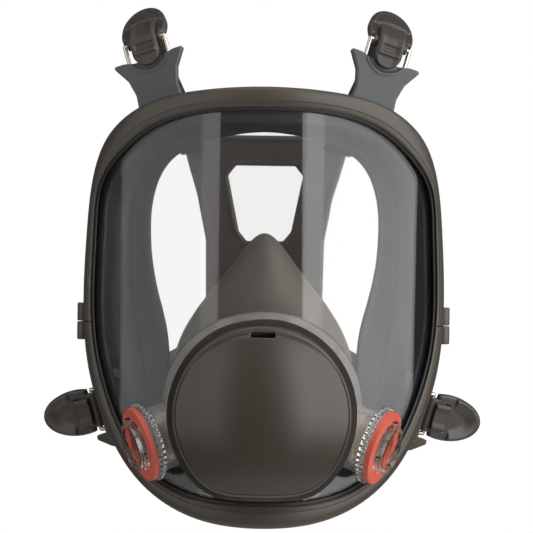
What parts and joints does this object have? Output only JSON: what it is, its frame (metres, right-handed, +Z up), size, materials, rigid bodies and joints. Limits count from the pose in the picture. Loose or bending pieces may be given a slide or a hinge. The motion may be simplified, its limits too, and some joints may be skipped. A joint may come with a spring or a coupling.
{
  "type": "full-face respirator mask",
  "caption": "Full-face respirator facepiece for painting, with a clear curved visor, front exhalation cover, side filter ports, nose cup, buckles and head harness.",
  "frame": {"origin": "middle of the face opening, level with the eyes", "axes": "+Z up the face, +Y out of the opening towards the wearer, +X to the right seen from the front"},
  "size_m": [0.2306, 0.2213, 0.2632],
  "materials": {
    "clear_polycarbonate": "gloss, moulded clear",
    "black_rubber": "matte",
    "frame_nylon": "satin, fine moulded grain",
    "steel": "drawn wire, bright",
    "seal_silicone": "satin moulded silicone",
    "cup_silicone": "satin moulded silicone",
    "dark_nylon": "satin",
    "diaphragm_film": "thin film",
    "valve_rubber": "soft, smooth",
    "red_rubber": "matte",
    "tan_nylon": "satin",
    "harness_rubber": "satin moulded rubber"
  },
  "bodies": {
    "root": {"lens": "clear_polycarbonate", "lens_gasket": "black_rubber", "frame_upper": "frame_nylon", "frame_lower": "frame_nylon", "frame_screws": "steel", "frame_nuts": "steel", "face_seal": "seal_silicone", "nose_cup": "cup_silicone", "cup_valve_seat_left": "dark_nylon", "cup_valve_seat_right": "dark_nylon", "centre_adapter": "dark_nylon", "adapter_gasket": "black_rubber", "exhalation_valve_seat": "dark_nylon", "speaking_diaphragm": "diaphragm_film", "diaphragm_ring": "dark_nylon", "port_spigot_left": "clear_polycarbonate", "port_spigot_right": "clear_polycarbonate", "port_gasket_left": "red_rubber", "port_gasket_right": "red_rubber", "inhalation_seat_left": "tan_nylon", "inhalation_seat_right": "tan_nylon", "harness_pad": "harness_rubber", "bail_upper_left": "steel", "buckle_tab_upper_left": "seal_silicone", "harness_arm_upper_left": "harness_rubber", "strap_tail_upper_left": "harness_rubber", "bail_upper_right": "steel", "buckle_tab_upper_right": "seal_silicone", "harness_arm_upper_right": "harness_rubber", "strap_tail_upper_right": "harness_rubber", "bail_lower_left": "steel", "buckle_tab_lower_left": "seal_silicone", "harness_arm_lower_left": "harness_rubber", "bail_lower_right": "steel", "buckle_tab_lower_right": "seal_silicone", "harness_arm_lower_right": "harness_rubber"},
    "leaf_upper_left": {"buckle_leaf_upper_left": "dark_nylon", "strap_loop_upper_left": "harness_rubber"},
    "leaf_upper_right": {"buckle_leaf_upper_right": "dark_nylon", "strap_loop_upper_right": "harness_rubber"},
    "leaf_lower_left": {"buckle_leaf_lower_left": "dark_nylon", "strap_loop_lower_left": "harness_rubber"},
    "leaf_lower_right": {"buckle_leaf_lower_right": "dark_nylon", "strap_loop_lower_right": "harness_rubber"},
    "cover": {"centre_cover": "frame_nylon"},
    "exhale_flap": {"exhalation_valve": "valve_rubber"},
    "inhale_flap_left": {"inhalation_flap_left": "valve_rubber"},
    "cup_flap_left": {"cup_valve_flap_left": "valve_rubber"},
    "inhale_flap_right": {"inhalation_flap_right": "valve_rubber"},
    "cup_flap_right": {"cup_valve_flap_right": "valve_rubber"}
  },
  "joints": [
    {"name": "buckle_upper_left", "type": "hinge", "parent": "root", "child": "leaf_upper_left", "pos_m": [-0.0623, -0.046, 0.1133], "axis": [0.9361, -0.18, 0.302], "range_deg": [0, 35]},
    {"name": "buckle_upper_right", "type": "hinge", "parent": "root", "child": "leaf_upper_right", "pos_m": [0.0623, -0.046, 0.1133], "axis": [0.9361, 0.18, -0.302], "range_deg": [0, 35]},
    {"name": "buckle_lower_left", "type": "hinge", "parent": "root", "child": "leaf_lower_left", "pos_m": [-0.0863, -0.0186, -0.0755], "axis": [-0.26, -0.105, 0.9599], "range_deg": [0, 35]},
    {"name": "buckle_lower_right", "type": "hinge", "parent": "root", "child": "leaf_lower_right", "pos_m": [0.0863, -0.0186, -0.0755], "axis": [-0.26, 0.105, -0.9599], "range_deg": [0, 35]},
    {"name": "cover_pull_off", "type": "slide", "parent": "root", "child": "cover", "axis": [0, -1, 0], "range_m": [0, 0.06]},
    {"name": "exhalation_flap", "type": "slide", "parent": "root", "child": "exhale_flap", "axis": [0, -1, 0], "range_m": [0, 0.0015], "stiffness_N_per_m": 20, "springref_m": -0.0005},
    {"name": "inhalation_flap_left", "type": "slide", "parent": "root", "child": "inhale_flap_left", "axis": [0.8827, 0.3611, 0.3009], "range_m": [0, 0.0012], "stiffness_N_per_m": 20, "springref_m": -0.0005},
    {"name": "cup_valve_flap_left", "type": "slide", "parent": "root", "child": "cup_flap_left", "axis": [0.9404, 0.3401, 0], "range_m": [0, 0.0012], "stiffness_N_per_m": 20, "springref_m": -0.0005},
    {"name": "inhalation_flap_right", "type": "slide", "parent": "root", "child": "inhale_flap_right", "axis": [-0.8827, 0.3611, 0.3009], "range_m": [0, 0.0012], "stiffness_N_per_m": 20, "springref_m": -0.0005},
    {"name": "cup_valve_flap_right", "type": "slide", "parent": "root", "child": "cup_flap_right", "axis": [-0.9404, 0.3401, 0], "range_m": [0, 0.0012], "stiffness_N_per_m": 20, "springref_m": -0.0005}
  ]
}
